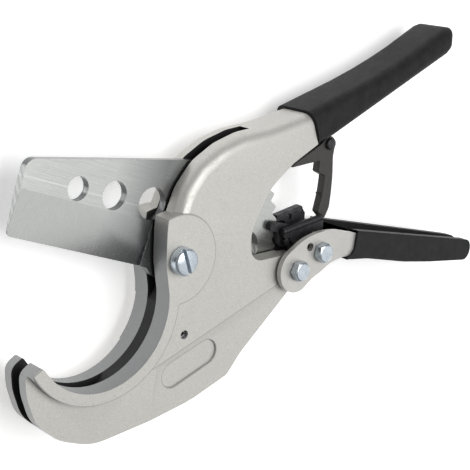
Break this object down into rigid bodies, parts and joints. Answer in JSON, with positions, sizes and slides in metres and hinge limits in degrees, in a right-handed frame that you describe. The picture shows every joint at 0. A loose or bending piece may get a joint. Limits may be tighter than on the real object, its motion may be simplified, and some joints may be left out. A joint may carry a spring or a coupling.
{
  "type": "ratcheting pipe cutter",
  "caption": "Hand-held ratcheting pipe cutter with a hooked cast jaw, a toothed swinging blade with round holes, a drive lever with pawls, and two black-sleeved handles.",
  "frame": {"origin": "centre of the bounding box in X and Y, at the lowest point of the bolt ends", "axes": "+X from the jaws to the handles, +Y from the hooked jaw to the upper handle, +Z along every pivot, towards the side with the bolt heads"},
  "size_m": [0.2714, 0.182, 0.0367],
  "materials": {
    "cast_silver": "silver powder coat with a fine metallic speckle over a die casting",
    "blade_steel": "ground and polished, hatched on the narrow tip",
    "zinc_plate": "bright blue zinc plate",
    "pressed_steel": "satin silver paint on pressed steel",
    "black_vinyl": "dipped vinyl, fine matte grain",
    "black_steel": "black oxide, satin",
    "black_nylon": "moulded, matte",
    "bronze": "plain bearing bronze",
    "spring_steel": "drawn wire and pin stock"
  },
  "bodies": {
    "frame": {"frame_casting": "cast_silver", "upper_grip": "black_vinyl", "frame_roll_pin": "spring_steel", "blade_pivot_screw": "zinc_plate", "blade_pivot_nut": "zinc_plate", "lever_pivot_bolt": "zinc_plate", "lever_pivot_nut": "zinc_plate", "lever_washer_near": "bronze", "lever_washer_far": "bronze", "latch_pin": "black_steel", "hold_pawl_spring": "spring_steel"},
    "blade": {"blade": "blade_steel", "blade_pivot_bush": "bronze"},
    "lever": {"lever_channel": "pressed_steel", "lever_grip": "black_vinyl", "drive_pawl_bolt": "zinc_plate", "drive_pawl_nut": "zinc_plate", "drive_spacer_near": "bronze", "drive_spacer_far": "bronze", "drive_pawl_spring": "spring_steel"},
    "drive_pawl": {"drive_pawl_plate_near": "black_steel", "drive_pawl_plate_far": "black_steel", "drive_pawl_cheek_near": "black_steel", "drive_pawl_cheek_far": "black_steel", "drive_pawl_cross_pin": "black_steel", "drive_pawl_rivet": "black_steel"},
    "hold_pawl": {"hold_pawl": "black_steel"},
    "latch": {"latch_arm": "black_nylon"}
  },
  "joints": [
    {"name": "blade_swing", "type": "hinge", "parent": "frame", "child": "blade", "pos_m": [-0.06131, -0.01722, 0.0188], "axis": [0, 0, 1], "range_deg": [0, 70]},
    {"name": "lever_squeeze", "type": "hinge", "parent": "frame", "child": "lever", "pos_m": [0.00329, -0.02182, 0.0188], "axis": [0, 0, 1], "range_deg": [0, 13], "stiffness_Nm_per_rad": 0.6, "springref_deg": -11.46},
    {"name": "drive_pawl_swing", "type": "hinge", "parent": "lever", "child": "drive_pawl", "pos_m": [0.01609, -0.01382, 0.0188], "axis": [0, 0, 1], "range_deg": [-27.4, 0]},
    {"name": "hold_pawl_swing", "type": "hinge", "parent": "frame", "child": "hold_pawl", "pos_m": [0.00329, -0.02182, 0.0188], "axis": [0, 0, 1], "range_deg": [-8, 0], "stiffness_Nm_per_rad": 0.05, "springref_deg": 11.46},
    {"name": "latch_swing", "type": "hinge", "parent": "frame", "child": "latch", "pos_m": [0.02119, 0.03238, 0.0188], "axis": [0, 0, 1], "range_deg": [0, 18]}
  ],
  "couplings": [
    {"joint": "drive_pawl_swing", "follows": "lever_squeeze", "ratio": -2.1}
  ]
}
